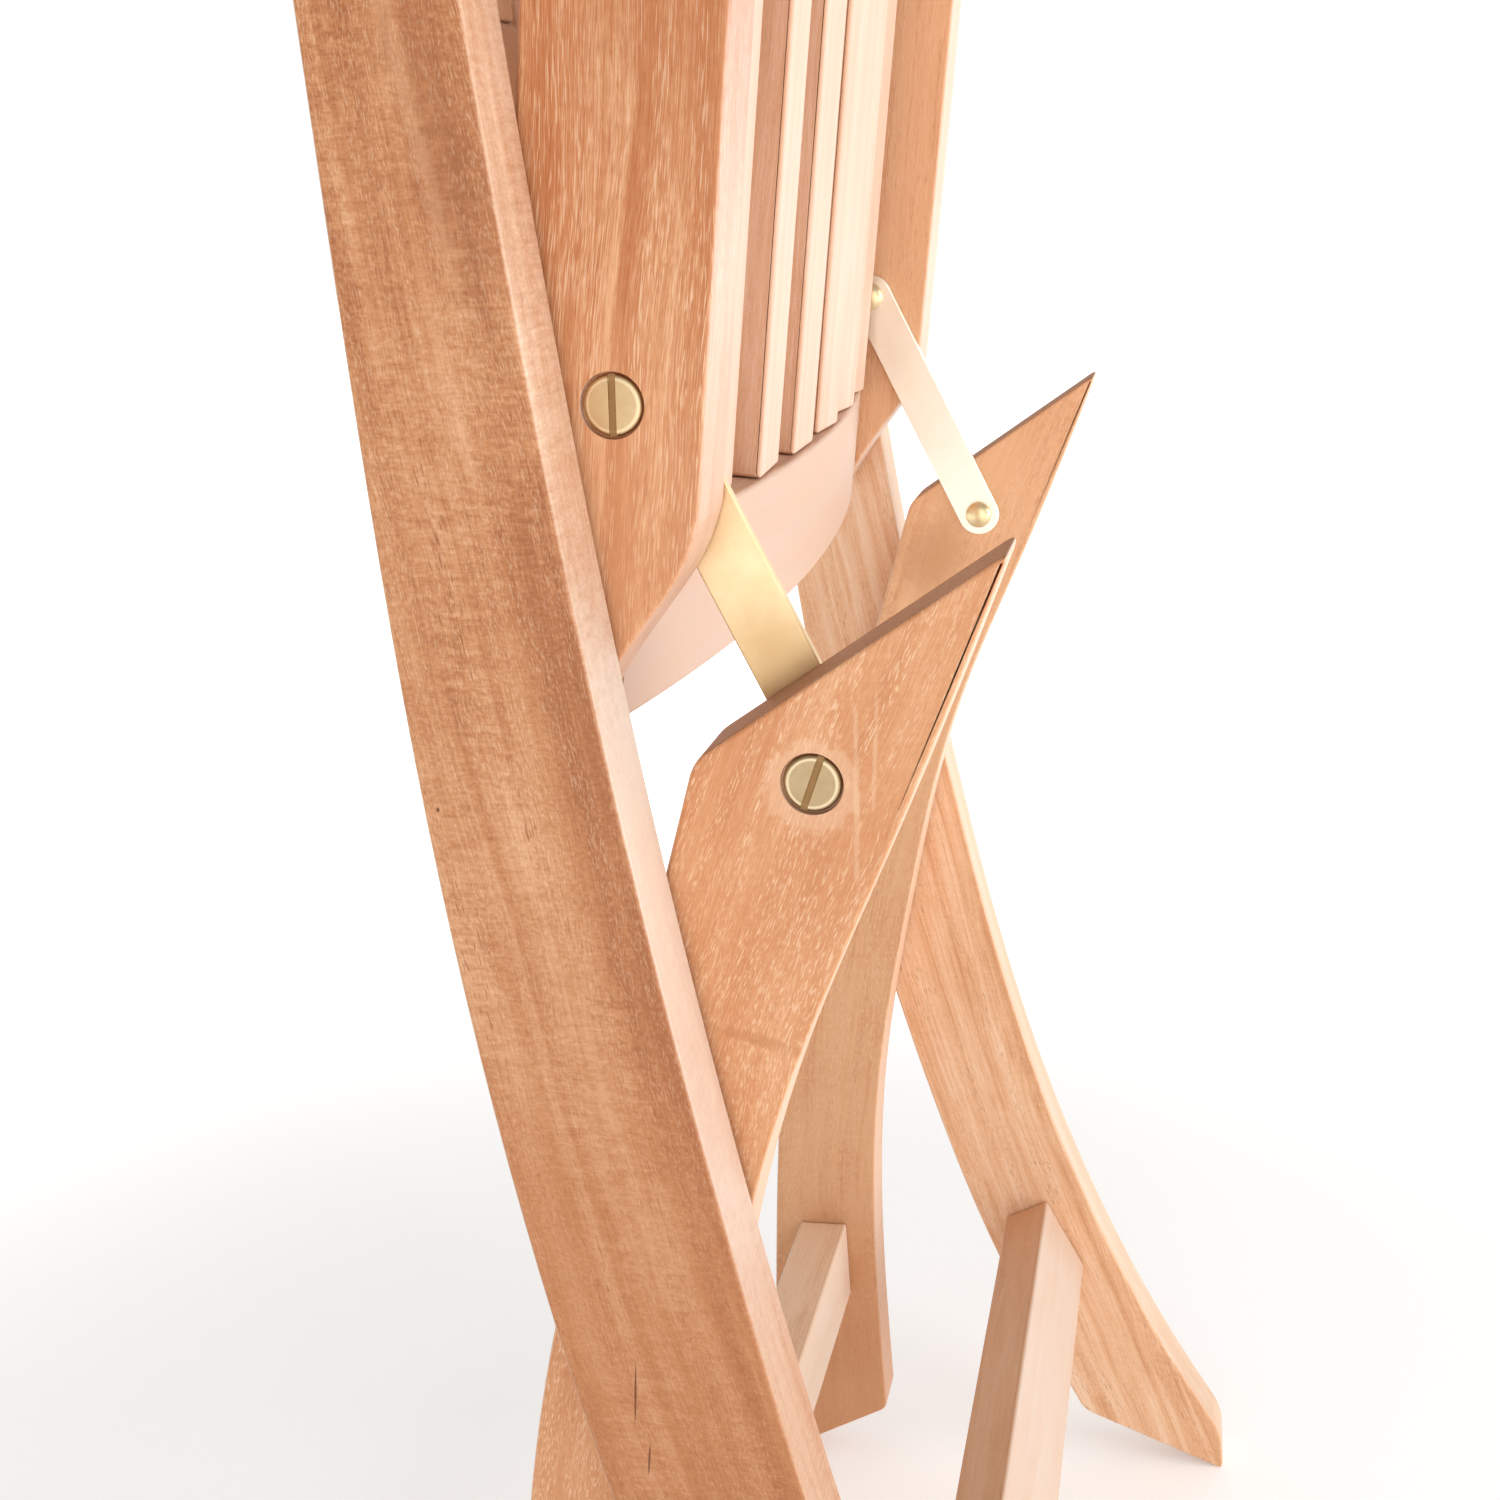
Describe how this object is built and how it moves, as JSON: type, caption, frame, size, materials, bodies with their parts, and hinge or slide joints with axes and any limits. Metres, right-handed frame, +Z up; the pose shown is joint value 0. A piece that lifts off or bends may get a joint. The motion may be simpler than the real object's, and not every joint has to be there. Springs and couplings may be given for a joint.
{
  "type": "folding chair",
  "caption": "Slatted hardwood folding chair with curved crossed legs, a dished seat that swings up between the legs, and flat brass links at its sides.",
  "frame": {"origin": "centre of the bounding box at floor level, part-folded as in the picture", "axes": "+Z up, -Y to the front of the chair, +X to the sitter's left-hand side; the middle plane is X = 0"},
  "size_m": [0.464, 0.261, 1.0289],
  "materials": {
    "leg_wood": "oiled hardwood",
    "seat_wood": "oiled hardwood, paler",
    "brass": "satin brass"
  },
  "bodies": {
    "back_frame": {"long_leg_right": "leg_wood", "long_leg_left": "leg_wood", "front_stretcher": "leg_wood", "back_top_rail": "leg_wood", "back_lower_rail": "leg_wood", "back_slat_1": "seat_wood", "back_slat_2": "seat_wood", "back_slat_3": "seat_wood", "back_slat_4": "seat_wood", "back_slat_5": "seat_wood", "leg_pivot_pin_right": "brass", "leg_pivot_pin_left": "brass", "leg_pivot_washer_right": "brass", "leg_pivot_washer_left": "brass", "seat_pivot_pin_right": "brass", "seat_pivot_pin_left": "brass", "seat_pivot_washer_right": "brass", "seat_pivot_washer_left": "brass"},
    "rear_legs": {"short_leg_right": "leg_wood", "short_leg_left": "leg_wood", "rear_stretcher": "leg_wood", "leg_link_screw_right": "brass", "leg_link_screw_left": "brass", "lower_link_nut_right": "brass", "lower_link_nut_left": "brass"},
    "seat": {"seat_rail_right": "seat_wood", "seat_rail_left": "seat_wood", "seat_rear_rail": "seat_wood", "seat_front_rail": "seat_wood", "seat_slat_1": "seat_wood", "seat_slat_2": "seat_wood", "seat_slat_3": "seat_wood", "seat_slat_4": "seat_wood", "seat_slat_5": "seat_wood", "seat_slat_6": "seat_wood", "seat_slat_7": "seat_wood", "seat_link_screw_right": "brass", "seat_link_screw_left": "brass"},
    "links": {"link_right": "brass", "link_left": "brass", "upper_link_nut_right": "brass", "upper_link_nut_left": "brass"}
  },
  "joints": [
    {"name": "leg_fold", "type": "hinge", "parent": "back_frame", "child": "rear_legs", "pos_m": [0, 0.039, 0.38092], "axis": [1, 0, 0], "range_deg": [-4, 51.5]},
    {"name": "seat_turn", "type": "hinge", "parent": "back_frame", "child": "seat", "pos_m": [0, 0.0593, 0.53592], "axis": [1, 0, 0], "range_deg": [-7.9, 101.1]},
    {"name": "link_turn", "type": "hinge", "parent": "rear_legs", "child": "links", "pos_m": [0, -0.0081, 0.51312], "axis": [1, 0, 0], "range_deg": [-74.2, 5.8]}
  ],
  "couplings": [
    {"joint": "seat_turn", "follows": "leg_fold", "ratio": 1.9612},
    {"joint": "link_turn", "follows": "leg_fold", "ratio": -1.4386}
  ]
}
